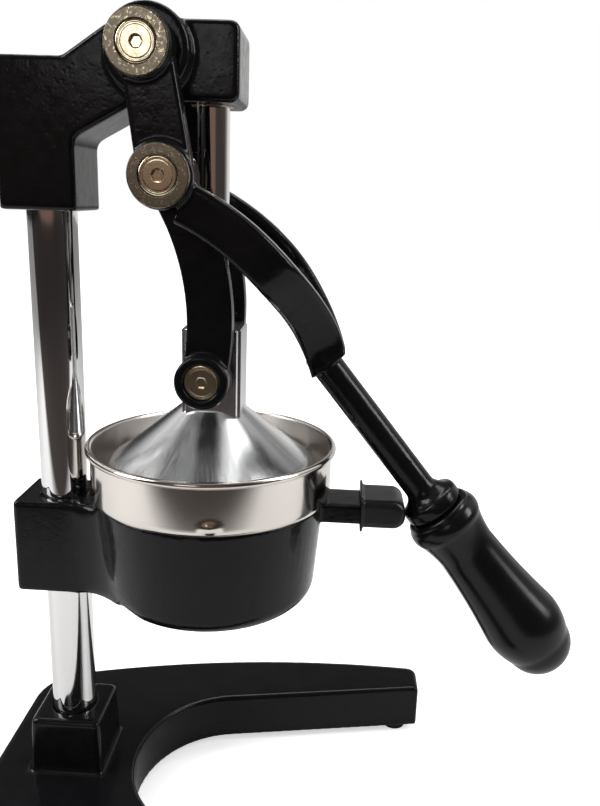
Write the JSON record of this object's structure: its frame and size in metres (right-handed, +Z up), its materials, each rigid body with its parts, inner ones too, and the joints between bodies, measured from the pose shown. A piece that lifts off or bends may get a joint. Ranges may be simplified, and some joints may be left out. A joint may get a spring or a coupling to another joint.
{
  "type": "lever citrus press",
  "caption": "Hand citrus press: a forked lever drives a polished cone down a guide rod into a strainer bowl held on a column over a horseshoe base.",
  "frame": {"origin": "on the table under the middle of the overall box", "axes": "+X forward from the column towards the lever grip, +Y to the far side, +Z up"},
  "size_m": [0.307, 0.2028, 0.4146],
  "materials": {
    "black_casting": "gloss black enamel over a rough casting",
    "black_lever": "gloss black enamel over a rough casting",
    "chrome": "mirror polished",
    "nickel": "bright warm nickel, faintly grained",
    "zinc_steel": "plain zinc plated",
    "satin_steel": "satin stainless sheet",
    "press_aluminium": "turned and polished",
    "black_grip": "smooth glossy black plastic",
    "black_rubber": "satin black rubber",
    "bush_bronze": "plain bronze"
  },
  "bodies": {
    "frame": {"base_casting": "black_casting", "rubber_feet": "black_rubber", "foot_screws": "zinc_steel", "column": "chrome", "column_washer": "zinc_steel", "column_bolt": "zinc_steel", "cup_holder": "black_casting", "holder_set_screw": "zinc_steel", "head_set_screws": "zinc_steel", "bumper_boot": "black_rubber", "strainer_bowl": "satin_steel", "reamer_cone": "satin_steel", "head_casting": "black_casting", "guide_bush": "bush_bronze", "top_pivot_washers": "nickel", "top_pivot_bolts": "nickel"},
    "lever": {"lever_fork": "black_lever", "lever_grip": "black_grip"},
    "connecting_rods": {"connecting_rod_near": "black_lever", "connecting_rod_far": "black_lever", "elbow_pivot_washers": "nickel", "elbow_pivot_bolts": "nickel", "wrist_pivot_bolts": "nickel"},
    "plunger": {"press_cone": "press_aluminium", "plunger_rod": "chrome"}
  },
  "joints": [
    {"name": "lever_pivot", "type": "hinge", "parent": "frame", "child": "lever", "pos_m": [-0.05954, 0, 0.396], "axis": [0, -1, 0], "range_deg": [0, 110]},
    {"name": "elbow_pivot", "type": "hinge", "parent": "lever", "child": "connecting_rods", "pos_m": [-0.05155, 0, 0.34553], "axis": [0, -1, 0], "range_deg": [-133.4, 0]},
    {"name": "plunger_slide", "type": "slide", "parent": "frame", "child": "plunger", "axis": [0, 0, 1], "range_m": [0, 0.07622]}
  ],
  "couplings": [
    {"joint": "elbow_pivot", "follows": "lever_pivot", "ratio": -1.2128},
    {"joint": "plunger_slide", "follows": "lever_pivot", "m_per_rad": 0.039698}
  ]
}
